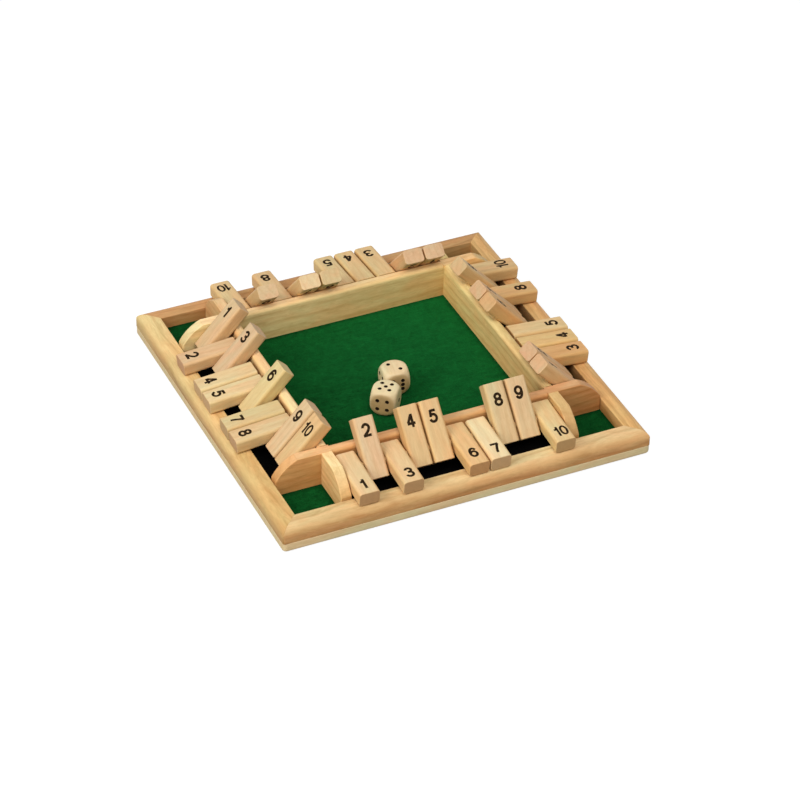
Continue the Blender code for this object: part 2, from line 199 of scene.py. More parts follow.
class ShaderSketch:
    """The node tree of a material or a world, drawn one node at a time."""

    def __init__(self, owner: Material | bpy.types.World) -> None:
        """Start a node tree.

        Args:
            owner: The new material or world that it belongs to.
        """
        owner.use_nodes = True
        self.owner = owner
        self.tree = owner.node_tree

    @classmethod
    def named(cls, name: str) -> "ShaderSketch":
        """Start a material of a given name."""
        return cls(bpy.data.materials.new(name))

    @property
    def shader(self) -> bpy.types.Node:
        """The material's surface shader."""
        return self.tree.nodes["Principled BSDF"]

    def add(self, kind: str, inputs: dict | None = None, **settings: object) -> bpy.types.Node:
        """Add a node.

        Args:
            kind: The node's type.
            inputs: A value or a socket for each input, by its name or number.
            settings: The node's own settings.

        Returns:
            The new node.
        """
        node = self.tree.nodes.new(kind)
        for key, value in settings.items():
            setattr(node, key, value)
        self.feed(node, inputs or {})
        return node

    def feed(self, node: bpy.types.Node, inputs: dict) -> None:
        """Link sockets to a node's inputs, or set the inputs' values.

        Args:
            node: The node.
            inputs: A value or a socket for each input, by its name or number.
        """
        for key, value in inputs.items():
            socket = node.inputs[key]
            if isinstance(value, Socket):
                self.tree.links.new(value, socket)
            else:
                socket.default_value = (*value, 1.0) if socket.type == "RGBA" else value

    def attribute(self, name: str) -> Socket:
        """Read one of the piece's own attributes as a vector."""
        return self.add("ShaderNodeAttribute", attribute_name=name).outputs["Vector"]

    def place(self) -> Socket:
        """Read the place on the board."""
        return self.add("ShaderNodeTexCoord").outputs["Object"]

    def split(self, vector: Socket) -> Sequence[Socket]:
        """Take a vector apart into its three numbers."""
        return self.add("ShaderNodeSeparateXYZ", {0: vector}).outputs

    def sum(self, operation: str, first: object, second: object = 0.0, clamp: bool = False) -> Socket:
        """Work out a sum of two numbers, kept between 0 and 1 if it is clamped."""
        inputs = {0: first, 1: second}
        return self.add("ShaderNodeMath", inputs, operation=operation, use_clamp=clamp).outputs[0]

    def times(self, first: object, second: object) -> Socket:
        """Multiply two numbers."""
        return self.sum("MULTIPLY", first, second)

    def weighed(self, start: object, *terms: tuple[object, float], clamp: bool = False) -> Socket:
        """Add to a number some others, each times its weight.

        Args:
            start: The first number or socket.
            terms: Each other number's socket and its weight.
            clamp: Whether the result is kept between 0 and 1.

        Returns:
            The result's socket.
        """
        for index, (value, weight) in enumerate(terms, 1):
            start = self.sum("ADD", start, self.times(value, weight), clamp and index == len(terms))
        return start

    def vector(self, operation: str, first: object, second: object = PLAIN, output: int = 0) -> Socket:
        """Work out a sum of two vectors, with output 0 for a vector and 1 for a number."""
        inputs = {0: first, 1: second}
        return self.add("ShaderNodeVectorMath", inputs, operation=operation).outputs[output]

    def mix(self, share: object, first: object, second: object, blend: str = "MIX") -> Socket:
        """Mix two colours, of which the second shows by a share."""
        inputs = {0: share, 6: first, 7: second}
        return self.add("ShaderNodeMix", inputs, data_type="RGBA", blend_type=blend).outputs[2]

    def noise(self, place: object, stretch: Triple, detail: float, output: str = "Fac",
              twist: float = 0.0) -> Socket:
        """Make cloudy noise.

        Args:
            place: The coordinates' socket.
            stretch: Features to a metre along each axis.
            detail: How many finer layers lie on it.
            output: "Fac" for a number or "Color" for three.
            twist: How far the noise distorts itself.

        Returns:
            The noise's socket.
        """
        inputs = {"Vector": self.vector("MULTIPLY", place, stretch), "Scale": 1.0, "Detail": detail,
                  "Roughness": 0.55, "Distortion": twist}
        return self.add("ShaderNodeTexNoise", inputs).outputs[output]

    def ramp(self, value: object, *stops: Point) -> Socket:
        """Bend a number from 0 to 1 along a curve.

        Args:
            value: The number's socket.
            stops: Places from 0 to 1 and the value at each.

        Returns:
            The bent number's socket.
        """
        node = self.add("ShaderNodeValToRGB", {0: value})
        steps = node.color_ramp.elements
        for index, (place, level) in enumerate(stops):
            step = steps[index] if index < 2 else steps.new(place)
            step.position = place
            step.color = (level, level, level, 1.0)
        return node.outputs["Color"]

    def seen(self) -> Socket:
        """Find 1 for camera, glossy and transmission rays, and 0 for rays that light the board.

        Returns:
            The number's socket.
        """
        rays = self.add("ShaderNodeLightPath").outputs
        found = self.sum("MAXIMUM", rays["Is Camera Ray"], rays["Is Glossy Ray"])
        return self.sum("MAXIMUM", found, rays["Is Transmission Ray"])

    def bump(self, height: object, depth: float, strength: float) -> None:
        """Let a height raise and lower the surface's shading, where a height of 1 stands for a depth."""
        node = self.add("ShaderNodeBump", {"Height": height, "Distance": depth, "Strength": strength})
        self.feed(self.shader, {"Normal": node.outputs["Normal"]})

    def dress(self, **sockets: object) -> Material:
        """Set the shader's inputs, whose names are given with _ for a space, and give the material."""
        self.feed(self.shader, {key.replace("_", " "): value for key, value in sockets.items()})
        return self.owner


@dataclass(frozen=True)
class WoodFinish:
    """Pale hardwood under thin lacquer: soft rings, wavering streaks, short flecks and fine pores.

    Each stretch is how many features there are to a metre, along the grain and across it.
    """

    name: str
    pale: Colour
    dark: Colour
    end: Colour
    base_depth: float = 0.30
    ring_width: float = 0.0052
    ring_profile: tuple[Point, ...] = ((0.0, 0.1), (1.0, 0.1), (0.30, 0.0), (0.60, 0.40), (0.84, 1.0))
    ring_share: float = 0.20
    drift_share: float = 0.60
    streak_share: float = 0.62
    fleck_share: float = 0.78
    fibre_share: float = 0.28
    pore_share: float = 0.30
    end_share: float = 0.92
    deep_end_share: float = 0.74
    rubbed_share: float = 0.60
    polish: float = 1.06
    gloss_swing: float = 0.14
    rubbed_gloss: float = 0.08
    swing: float = 0.014
    roughness: float = 0.55
    coat: float = 0.02
    worn_lift: Colour = (1.12, 1.29, 1.70)
    warm_patch: Colour = (1.035, 0.945, 0.90)
    cool_patch: Colour = (0.965, 1.02, 1.01)
    wander_stretch: Triple = (8.0, 20.0, 20.0)
    drift_stretch: Triple = (6.0, 52.0, 52.0)
    streak_stretch: Triple = (24.0, 270.0, 270.0)
    fleck_stretch: Triple = (95.0, 520.0, 520.0)
    fibre_stretch: Triple = (80.0, 1700.0, 1700.0)
    patch_stretch: Triple = (26.0, 90.0, 90.0)
    pore_stretch: Triple = (230.0, 2300.0, 2300.0)
    rub_stretch: Triple = (90.0, 240.0, 240.0)

    def depth(self, sketch: ShaderSketch, place: Socket) -> tuple[Socket, ...]:
        """Draw the figure's light and dark.

        Args:
            sketch: The material's node tree.
            place: Where in the log the surface is.

        Returns:
            The depth of colour, the streaks and the fibres, from 0 to 1.
        """
        wander = sketch.noise(place, self.wander_stretch, 2.0, "Color")
        wander = sketch.vector("SUBTRACT", wander, (0.5, 0.5, 0.5))
        wander = sketch.vector("MULTIPLY", wander, (0.0, self.swing, self.swing))
        bent = sketch.vector("ADD", place, wander)
        across = sketch.vector("MULTIPLY", bent, (0.0, 1.0, 1.0))
        radius = sketch.vector("LENGTH", across, output=1)
        phase = sketch.sum("FRACT", sketch.sum("DIVIDE", radius, self.ring_width))
        ring = sketch.ramp(phase, *self.ring_profile)

        streak = sketch.noise(bent, self.streak_stretch, 3.0, twist=0.5)
        fibre = sketch.noise(place, self.fibre_stretch, 2.0)
        layers = ((sketch.noise(bent, self.drift_stretch, 2.0), self.drift_share),
                  (streak, self.streak_share),
                  (sketch.noise(bent, self.fleck_stretch, 2.0, twist=0.8), self.fleck_share),
                  (fibre, self.fibre_share))
        level = self.base_depth - 0.5 * sum(share for _, share in layers)
        depth = sketch.weighed(level, (ring, self.ring_share), *layers, clamp=True)
        return depth, streak, fibre

    def material(self) -> Material:
        """Draw the finish as a material.

        Returns:
            The material.
        """
        sketch = ShaderSketch.named(self.name)
        place = sketch.attribute("grain")
        # Per face: how far it is end grain, how round it is, and how much painted sheen it takes
        end, roundness, level = sketch.split(sketch.attribute("cut"))
        depth, streak, fibre = self.depth(sketch, place)
        colour = sketch.mix(depth, self.pale, self.dark)

        # Warm and cool patches, and the pores
        patch = sketch.noise(place, self.patch_stretch, 2.0, twist=0.5)
        patch = sketch.ramp(patch, (0.36, 0.0), (0.64, 1.0))
        hue = sketch.mix(patch, self.warm_patch, self.cool_patch)
        colour = sketch.mix(1.0, colour, hue, "MULTIPLY")
        pitch = sketch.vector("MULTIPLY", place, self.pore_stretch)
        cells = sketch.add("ShaderNodeTexVoronoi", {"Vector": pitch, "Scale": 1.0}).outputs["Distance"]
        pore = sketch.ramp(cells, (0.10, 1.0), (0.30, 0.0))
        colour = sketch.mix(sketch.times(pore, self.pore_share), colour, self.end)

        # End grain drinks more stain. The rounded edges are lighter, a painted highlight, and the polish of
        # handling makes them glossier
        deep_end = [self.deep_end_share * part for part in self.end]
        ends = sketch.mix(sketch.times(depth, 0.6), self.end, deep_end)
        colour = sketch.mix(sketch.times(end, self.end_share), colour, ends)
        edge_polish_and_highlight = sketch.times(sketch.noise(place, self.rub_stretch, 2.0), roundness)
        edge_highlight = [self.polish * part for part in self.pale]
        colour = sketch.mix(sketch.times(edge_polish_and_highlight, self.rubbed_share), colour, edge_highlight)
        # Painted sheen and highlight: the level faces, and the end grain of flipped tiles, are lifted pale
        # where the lacquer would gleam
        paler = sketch.mix(1.0, colour, self.worn_lift, "MULTIPLY")
        colour = sketch.mix(sketch.times(level, sketch.sum("ADD", streak, 0.5)), colour, paler)
        # The piece's tint, which carries its painted foot shade
        colour = sketch.mix(1.0, colour, sketch.attribute("tint"), "MULTIPLY")

        gloss = sketch.weighed(self.roughness - self.gloss_swing / 2, (fibre, self.gloss_swing),
                               (pore, self.gloss_swing), (edge_polish_and_highlight, -self.rubbed_gloss))
        height = sketch.weighed(0.0, (fibre, 0.5), (streak, 0.4), (pore, -0.7))
        sketch.bump(height, depth=0.0001, strength=0.3)
        return sketch.dress(Base_Color=colour, Roughness=gloss, Specular_IOR_Level=0.22,
                            Coat_Weight=self.coat, Coat_Roughness=0.32)


@dataclass(frozen=True)
class FeltFinish:
    """Pressed wool felt: a fuzz of crossing fibres and uneven clumps, with painted shade that deepens
    towards the near left, along the walls and rails and in the corner pockets.
    """

    name: str
    deep: Colour
    light: Colour
    sheen: float = 0.12
    nap: Triple = (1.8, 2.0, 0.0)
    layout: Layout = Layout()
    margin: float = 0.0045
    margin_share: float = 0.40
    pocket_share: float = 0.30
    least_lie: float = -0.22
    shade_share: float = 0.45
    clump_share: float = 0.75
    brush_share: float = 0.55
    fuzz_share: float = 0.45
    clump_stretch: Triple = (150.0, 150.0, 150.0)
    brush_stretch: Triple = (90.0, 420.0, 420.0)
    hair_stretch: Triple = (260.0, 2600.0, 900.0)
    hair_turns: Triple = (18.0, 74.0, 131.0)

    def pressed(self, sketch: ShaderSketch, place: Socket) -> tuple[Socket, ...]:
        """Find where painted shade darkens the felt: along the walls and rails, and in the corner pockets.

        Args:
            sketch: The material's node tree.
            place: The place on the board.

        Returns:
            A socket that rises to 1 at the walls and rails, and one that is 1 in the corner pockets.
        """
        x, y, _ = sketch.split(sketch.vector("ABSOLUTE", place))
        outermost = sketch.sum("MAXIMUM", x, y)
        innermost = sketch.sum("MINIMUM", x, y)
        gap = sketch.sum("SUBTRACT", self.layout.rail_inner, outermost)
        for line, reach in ((self.layout.wall_inner, outermost), (self.layout.wall_outer, innermost)):
            away = sketch.sum("ABSOLUTE", sketch.sum("SUBTRACT", reach, line))
            gap = sketch.sum("MINIMUM", gap, away)
        pocket = sketch.sum("GREATER_THAN", innermost, self.layout.wall_inner)
        return sketch.sum("SUBTRACT", 1.0, sketch.sum("DIVIDE", gap, self.margin), clamp=True), pocket

    def material(self) -> Material:
        """Draw the finish as a material.

        Returns:
            The material.
        """
        sketch = ShaderSketch.named(self.name)
        place = sketch.place()
        clump = sketch.noise(place, self.clump_stretch, 3.0, twist=0.8)
        brushed = sketch.noise(place, self.brush_stretch, 2.0, twist=0.8)
        fuzz = 0.0
        for turn in self.hair_turns:
            bearing = (0.0, 0.0, math.radians(turn))
            turned = sketch.add("ShaderNodeMapping", {"Vector": place, "Rotation": bearing})
            hair = sketch.noise(turned.outputs[0], self.hair_stretch, 2.0, twist=1.2)
            fuzz = sketch.sum("MAXIMUM", fuzz, sketch.ramp(hair, (0.48, 0.0), (0.66, 1.0)))
        # Painted shade: darker towards the near left, in the corner pockets and along the walls and rails
        margin, pocket = self.pressed(sketch, place)
        painted_shade_level = sketch.weighed(sketch.vector("DOT_PRODUCT", place, self.nap, 1), (pocket, -self.pocket_share))
        painted_shade_level = sketch.sum("MAXIMUM", painted_shade_level, self.least_lie)
        shade = sketch.weighed(-self.shade_share, (clump, self.clump_share), (brushed, self.brush_share),
                               (fuzz, self.fuzz_share), (painted_shade_level, 1.0), (margin, -self.margin_share),
                               clamp=True)
        colour = sketch.mix(shade, self.deep, self.light)
        sketch.bump(sketch.weighed(clump, (fuzz, 0.6)), depth=0.00035, strength=0.6)
        return sketch.dress(Base_Color=colour, Roughness=sketch.weighed(1.0, (fuzz, -0.12)),
                            Sheen_Weight=self.sheen, Sheen_Roughness=0.45, Sheen_Tint=self.light,
                            Specular_IOR_Level=0.04)


@dataclass(frozen=True)
class InkFinish:
    """Dark stamping ink or paint, a little thin where the wood's fibres stand up."""

    name: str
    full: Colour
    thin: Colour
    roughness: float = 0.65
    cloud_stretch: Triple = (420.0, 420.0, 420.0)
    speck_stretch: Triple = (2600.0, 2600.0, 2600.0)

    def material(self) -> Material:
        """Draw the finish as a material.

        Returns:
            The material.
        """
        sketch = ShaderSketch.named(self.name)
        place = sketch.place()
        cloud = sketch.noise(place, self.cloud_stretch, 4.0, twist=0.5)
        speck = sketch.noise(place, self.speck_stretch, 2.0)
        paler = sketch.ramp(sketch.times(cloud, sketch.sum("ADD", speck, 0.5)), (0.52, 0.0), (0.85, 1.0))
        sketch.bump(speck, depth=0.00005, strength=0.3)
        return sketch.dress(Base_Color=sketch.mix(paler, self.full, self.thin), Specular_IOR_Level=0.05,
                            Roughness=sketch.weighed(self.roughness, (paler, 0.2)))


FINISHES: dict[str, WoodFinish | FeltFinish | InkFinish] = {
    "board_wood": WoodFinish("light_board_wood", (0.84, 0.68, 0.40), (0.60, 0.44, 0.20),
                             (0.56, 0.40, 0.19), end_share=0.4),
    "rail_wood": WoodFinish("honey_rail_wood", (0.86, 0.59, 0.27), (0.52, 0.28, 0.09), (0.48, 0.27, 0.10),
                            ring_width=0.0062, ring_share=0.34, drift_share=1.0, streak_share=0.75,
                            fleck_share=0.75, swing=0.022),
    "wall_wood": WoodFinish("warm_wall_wood", (0.82, 0.56, 0.26), (0.52, 0.28, 0.09), (0.48, 0.27, 0.10),
                            ring_width=0.0058, ring_share=0.30, drift_share=0.8),
    "rod_wood": WoodFinish("dowel_wood", (0.72, 0.48, 0.22), (0.50, 0.29, 0.12), (0.44, 0.26, 0.12)),
    "tile_wood": WoodFinish("tile_wood_grain", (0.84, 0.59, 0.28), (0.62, 0.38, 0.15), (0.55, 0.31, 0.125)),
    "die_wood": WoodFinish("pale_die_wood", (0.84, 0.70, 0.43), (0.70, 0.54, 0.29), (0.54, 0.36, 0.16),
                           ring_width=0.0034, ring_share=0.16, coat=0.12, roughness=0.45),
    "green_felt": FeltFinish("green_wool_felt", (0.0016, 0.042, 0.0075), (0.007, 0.150, 0.029)),
    "black_liner": FeltFinish("black_wool_felt", (0.0012, 0.0012, 0.0012), (0.006, 0.006, 0.006),
                              sheen=0.01),
    "number_ink": InkFinish("number_ink", (0.018, 0.010, 0.004), (0.10, 0.054, 0.022)),
    "pip_paint": InkFinish("pip_paint", (0.016, 0.009, 0.005), (0.05, 0.03, 0.014), 0.5),
}


def deselect() -> None:
    """Deselect every object, so that an operator acts on the next one alone."""
    bpy.ops.object.select_all(action="DESELECT")


def lying(*lines: dict[int, float], along: int | None = None) -> EdgeTest:
    """Make a test that picks edges by where they lie.

    Args:
        lines: Places on the axes 0, 1 and 2 that both ends keep to. Any one line is enough.
        along: The axis that the edge runs along, if that matters.

    Returns:
        The test, which takes an edge's two ends.
    """
    def test(first: Vector, second: Vector) -> bool:
        """Tell whether an edge lies so.

        Args:
            first: One end of the edge.
            second: The other end.

        Returns:
            True if it does.
        """
        span = [abs(part) for part in second - first]
        across = [part for axis, part in enumerate(span) if axis != along]
        straight = along is None or (span[along] > LEAST_EDGE and max(across) < STRAIGHT)
        return straight and any(all(abs(end[axis] - place) < CLOSE for axis, place in line.items()
                                    for end in (first, second)) for line in lines or ({},))

    return test


class Workpiece:
    """One piece on the bench, shaped in edit mode by picking its edges or faces and working on them."""

    crown_depth = 0.0023
    round_turn = 0.29
    level_power = 6

    def __init__(self, name: str) -> None:
        """Take up the object that was just added, and put its place in its mesh.

        Args:
            name: The piece's name.
        """
        self.shape = bpy.context.object
        self.shape.name = name
        self.shape.data.name = name
        bpy.ops.object.transform_apply(location=True, rotation=True, scale=True)

    @classmethod
    def block(cls, name: str, low: Triple, high: Triple) -> "Workpiece":
        """Saw a block.

        Args:
            name: The piece's name.
            low: The lowest corner.
            high: The highest corner.

        Returns:
            The block on the bench.
        """
        deselect()
        middle = (Vector(low) + Vector(high)) / 2
        bpy.ops.mesh.primitive_cube_add(size=1.0, location=middle, scale=Vector(high) - Vector(low))
        return cls(name)

    @classmethod
    def dowel(cls, name: str, radius: float, length: float, middle: Triple, turn: Triple, sides: int,
              end_radius: float | None = None) -> "Workpiece":
        """Turn a round bar, or a cone where its far end has another radius.

        Args:
            name: The piece's name.
            radius: The bar's radius.
            length: The bar's length.
            middle: The middle of the bar.
            turn: How the bar is turned from upright, in radians about X, Y and Z.
            sides: How many flats stand for the round.
            end_radius: The radius at the upper end, if it differs.

        Returns:
            The bar on the bench.
        """
        deselect()
        bpy.ops.mesh.primitive_cone_add(vertices=sides, radius1=radius, depth=length, location=middle,
                                        radius2=radius if end_radius is None else end_radius, rotation=turn)
        return cls(name)

    def activate(self) -> None:
        """Make this the one selected and active object."""
        deselect()
        self.shape.select_set(True)
        bpy.context.view_layer.objects.active = self.shape

    def round_edges(self, test: EdgeTest, radius: float, steps: int) -> None:
        """Round the edges that pass a test.

        Args:
            test: Takes an edge's two ends and says whether it is rounded.
            radius: The rounding's radius.
            steps: How many flats stand for the rounding.
        """
        self.activate()
        bpy.ops.object.mode_set(mode="EDIT")
        bpy.context.tool_settings.mesh_select_mode = (False, True, False)
        bpy.ops.mesh.select_all(action="DESELECT")
        form = bmesh.from_edit_mesh(self.shape.data)
        for edge in form.edges:
            edge.select_set(test(edge.verts[0].co, edge.verts[1].co))
        bmesh.update_edit_mesh(self.shape.data)
        bpy.ops.mesh.bevel(offset=radius, offset_type="OFFSET", segments=steps, profile=0.5, affect="EDGES",
                           clamp_overlap=True)
        bpy.ops.object.mode_set(mode="OBJECT")

    def plane_off(self, cuts: Iterable[Cut]) -> None:
        """Plane away what lies beyond each of some planes, and close the cut.

        Args:
            cuts: A point and the outward direction of each plane.
        """
        self.activate()
        bpy.ops.object.mode_set(mode="EDIT")
        for point, outward in cuts:
            bpy.ops.mesh.select_all(action="SELECT")
            bpy.ops.mesh.bisect(plane_co=point, plane_no=outward, use_fill=True, clear_outer=True,
                                threshold=1e-7)
        bpy.ops.object.mode_set(mode="OBJECT")

    def join(self, others: Sequence["Workpiece"]) -> None:
        """Make one object of this piece and others.

        Args:
            others: The pieces that it takes up.
        """
        self.activate()
        for other in others:
            other.shape.select_set(True)
        bpy.ops.object.join()

    def modify(self, kind: str, **settings: object) -> None:
        """Add a modifier to the active piece and apply it.

        Args:
            kind: The modifier's type.
            settings: Its settings.
        """
        bpy.ops.object.modifier_add(type=kind)
        modifier = self.shape.modifiers[-1]
        for key, value in settings.items():
            setattr(modifier, key, value)
        bpy.ops.object.modifier_apply(modifier=modifier.name)

    def cut_with(self, cutter: "Workpiece") -> None:
        """Take a cutter's shape out of this piece, and put the cutter away.

        Args:
            cutter: The piece whose shape is taken out.
        """
        self.activate()
        self.modify("BOOLEAN", operation="DIFFERENCE", solver="EXACT", material_mode="TRANSFER",
                    object=cutter.shape)
        cutter.put_away()

    def shade(self, angle: float = 34.0) -> None:
        """Shade gently meeting faces as one round, and keep broad faces flat up to their edges.

        Args:
            angle: The sharpest turn that still counts as gentle.
        """
        self.activate()
        bpy.ops.object.shade_smooth_by_angle(angle=math.radians(angle))
        self.modify("WEIGHTED_NORMAL", keep_sharp=True, weight=80)

    def record_grain(self, sawing: Sawing) -> None:
        """Write down each point's place in the log and its tone with the painted foot shade, and per face
        how far it is end grain, how round it is and how much painted sheen it takes.

        Args:
            sawing: Where the piece was sawn from.
        """
        mesh = self.shape.data
        look = sawing.toning
        first = sawing.along.value
        shift = (sawing.start, *sawing.pith)
        heights = [vertex.co.z for vertex in mesh.vertices]
        top, tall = max(heights), max(heights) - min(heights)
        runs = [vertex.co[first] for vertex in mesh.vertices]
        middle, long = (max(runs) + min(runs)) / 2, max(runs) - min(runs)
        places = []
        tints = []
        for vertex in mesh.vertices:
            places += [vertex.co[(first + step) % 3] + shift[step] for step in range(3)]
            sunk = (top - vertex.co.z) / tall
            crown = max(0.0, 1.0 - (top - vertex.co.z) / self.crown_depth)
            run = (vertex.co[first] - middle) / long
            # Tint, with a painted shade that deepens towards the foot
            for part, foot, brow, end in zip(look.tint, look.foot, look.crown, look.run):
                tints.append(part * (1.0 + (foot - 1.0) * sunk) * brow ** crown * end ** run)
        cuts = []
        for face in mesh.polygons:
            steepest = max(abs(part) for part in face.normal)
            end, level = face.normal[first] ** 2, abs(face.normal.z) ** self.level_power
            # The third number is painted sheen on level faces and painted highlight on end grain
            cuts += [look.end_depth * end, min(1.0, (1.0 - steepest) / self.round_turn),
                     look.end_wear * end + look.top_wear * level]
        records = (("grain", "POINT", places), ("cut", "FACE", cuts), ("tint", "POINT", tints))
        for name, domain, values in records:
            layer = mesh.attributes.get(name) or mesh.attributes.new(name, "FLOAT_VECTOR", domain)
            layer.data.foreach_set("vector", values)

    def copy(self, name: str, place: Matrix) -> "Workpiece":
        """Copy the piece with its own mesh and put the copy in place.

        Args:
            name: The copy's name.
            place: Where it goes from where this piece is.

        Returns:
            The copy.
        """
        self.activate()
        bpy.ops.object.duplicate(linked=False)
        bpy.context.object.matrix_world = place
        return Workpiece(name)

    def put_away(self) -> None:
        """Remove a pattern piece once its copies are made."""
        bpy.data.objects.remove(self.shape, do_unlink=True)

    def dress(self, finish: Material) -> None:
        """Give the piece its finish."""
        self.shape.data.materials.clear()
        self.shape.data.materials.append(finish)

    def hand_over(self, body: str, node: str | None = None, slot: str | None = None) -> bpy.types.Object:
        """Let the piece move with a body and stand for a node of the frame.

        Args:
            body: The body that it rides on.
            node: The node that it stands for, if any.
            slot: The record's material slot, if any; not used.

        Returns:
            The finished object.
        """
        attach(self.shape, body)
        if node:
            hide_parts(node)
        LOG.info("%s rides on %s, %d faces", self.shape.name, body, len(self.shape.data.polygons))
        return self.shape


@dataclass
class Job:
    """A sub-assembly to be made: the lines it is set out by, finishes by slot and a source of chance."""

    layout: Layout
    finishes: dict[str, Material]
    chance: random.Random

    def fit(self, pattern: Workpiece, side: Side, name: str, node: str, slot: str) -> bpy.types.Object:
        """Turn a copy of a near side's pattern to a side of the board, dress it and hand it over.

        Args:
            pattern: The pattern.
            side: The side that the copy goes to.
            name: The copy's name, before the side's.
            node: The name of the node that it stands for, before the side's.
            slot: The record's material slot, which its finish goes by too.

        Returns:
            The finished object.
        """
        piece = pattern.copy(f"{name}_{side.label}", side.turn)
        piece.dress(self.finishes[slot])
        return piece.hand_over("board", f"{node}_{side.label}", slot)


@dataclass
class BasePanel(Job):
    """The board under everything, with rounded corners and a rounded lower edge."""

    corner_radius: float = 0.0035
    foot_rounding: float = 0.003
    rim_easing: float = 0.0006
    sawing: Sawing = Sawing(Axis.X, 0.4, (0.31, 0.045))

    def build(self) -> None:
        """Shape the panel and hand it over."""
        edge = self.layout.rail_outer
        thickness = self.layout.board_thickness
        panel = Workpiece.block("base_panel", (-edge, -edge, 0.0), (edge, edge, thickness))
        panel.round_edges(lying(along=2), self.corner_radius, steps=8)
        panel.round_edges(lying({2: 0.0}), self.foot_rounding, steps=6)
        panel.round_edges(lying({2: thickness}), self.rim_easing, steps=3)
        panel.shade()
        panel.record_grain(self.sawing)
        panel.dress(self.finishes["board_wood"])
        panel.hand_over("board", "base_board", "board_wood")


@dataclass
class RailFrame(Job):
    """Four rails with mitred ends: level inside, rounded over outside."""

    outer_rounding: float = 0.008
    inner_easing: float = 0.0008
    foot_easing: float = 0.0005
    corner_radius: float = 0.0025
    corner_steps: int = 6
    bearing: Point = (20.0, 70.0)
    # The second colour is a painted shade that deepens down each rail's outer face
    tonings: dict[Side, Toning] = each_side(
        Toning((0.95, 0.92, 0.94), (0.80, 0.63, 0.48), (1.05, 1.20, 1.36), (1.02, 0.96, 0.94)),
        Toning((1.06, 0.95, 0.86), (0.76, 0.62, 0.48), run=(1.10, 1.12, 1.20)),
        Toning((0.81, 0.69, 0.66), (0.78, 0.66, 0.52)),
        Toning((1.02, 1.07, 1.06), (0.57, 0.47, 0.32), run=(0.84, 0.76, 0.66)),
    )

    def corner_cuts(self, sense: int) -> list[Cut]:
        """Work out the planes of a mitre and of its half of the rounded corner.

        Args:
            sense: 1 for the rail's right end or -1 for its left end.

        Returns:
            A point and the outward direction of each plane.
        """
        cuts = [((-sense * self.layout.hairline, 0.0, 0.0), (float(sense), 1.0, 0.0))]
        centre = self.layout.rail_outer - self.corner_radius
        for step in range(self.corner_steps):
            angle = math.radians(-90.0 + 45.0 * (step + 0.5) / self.corner_steps)
            outward = (sense * math.cos(angle), math.sin(angle), 0.0)
            reach = self.corner_radius * math.cos(math.radians(22.5 / self.corner_steps))
            point = (sense * centre + reach * outward[0], -centre + reach * outward[1], 0.0)
            cuts.append((point, outward))
        return cuts

    def pattern(self) -> Workpiece:
        """Shape the near rail.

        Returns:
            The rail, in the near side's place.
        """
        inner = self.layout.rail_inner
        outer = self.layout.rail_outer
        base = self.layout.board_thickness + self.layout.hairline
        top = self.layout.rail_top
        rail = Workpiece.block("rail_pattern", (-outer, -outer, base), (outer, -inner, top))
        rail.round_edges(lying({1: -outer, 2: top}), self.outer_rounding, steps=14)
        rail.round_edges(lying({1: -inner, 2: top}), self.inner_easing, steps=4)
        rail.round_edges(lying({1: -outer, 2: base}), self.foot_easing, steps=3)
        rail.plane_off(self.corner_cuts(1) + self.corner_cuts(-1))
        rail.shade()
        return rail

    def build(self) -> None:
        """Shape the rails and hand them over."""
        pattern = self.pattern()
        for side in Side:
            pattern.record_grain(Sawing.pick(self.chance, Axis.X, self.bearing, self.tonings[side]))
            self.fit(pattern, side, "edge_rail", "rail", "rail_wood")
        pattern.put_away()


@dataclass
class FeltWork(Job):
    """The green felt between the rails and the black felt on the floor of each tile well."""

    ripple: float = 0.00004
    ripple_pitch: float = 90.0
    liner_thickness: float = 0.0008
    grid_step: float = 0.004

    def cloth(self, name: str, low: Point, high: Point, top: float, thickness: float) -> Workpiece:
        """Lay a sheet of felt flat, with a faint unevenness.

        Args:
            name: The piece's name.
            low: The sheet's near left corner.
            high: The sheet's far right corner.
            top: The height of its upper face.
            thickness: Its thickness.

        Returns:
            The sheet.
        """
        width, length = high[0] - low[0], high[1] - low[1]
        middle = ((low[0] + high[0]) / 2, (low[1] + high[1]) / 2, top - self.ripple)
        deselect()
        bpy.ops.mesh.primitive_grid_add(x_subdivisions=round(width / self.grid_step), size=1.0,
                                        y_subdivisions=round(length / self.grid_step), location=middle)
        bpy.context.object.scale = (width, length, 1.0)
        sheet = Workpiece(name)
        for vertex in sheet.shape.data.vertices:
            vertex.co.z += self.ripple * noise.noise(vertex.co * self.ripple_pitch)
        sheet.activate()
        sheet.modify("SOLIDIFY", thickness=thickness, offset=-1.0)
        bpy.ops.object.shade_smooth_by_angle(angle=math.radians(40.0))
        return sheet

    def build(self) -> None:
        """Lay the five sheets and hand them over."""
        layout = self.layout
        edge = layout.rail_inner - layout.end_play
        bottom = layout.board_thickness + layout.hairline
        thickness = layout.felt_top - self.ripple - bottom - self.ripple
        green = self.cloth("felt_cloth", (-edge, -edge), (edge, edge), layout.felt_top, thickness)
        green.dress(self.finishes["green_felt"])
        felt = green.hand_over("board", "felt_sheet", "green_felt")

        half = layout.wall_inner - layout.end_play
        far = layout.wall_outer + layout.end_play
        top = layout.wall_base + self.liner_thickness
        pattern = self.cloth("liner_pattern", (-half, -edge), (half, -far), top, self.liner_thickness)
        for side in Side:
            cloth = self.fit(pattern, side, "well_cloth", "well_liner", "black_liner")
        pattern.put_away()


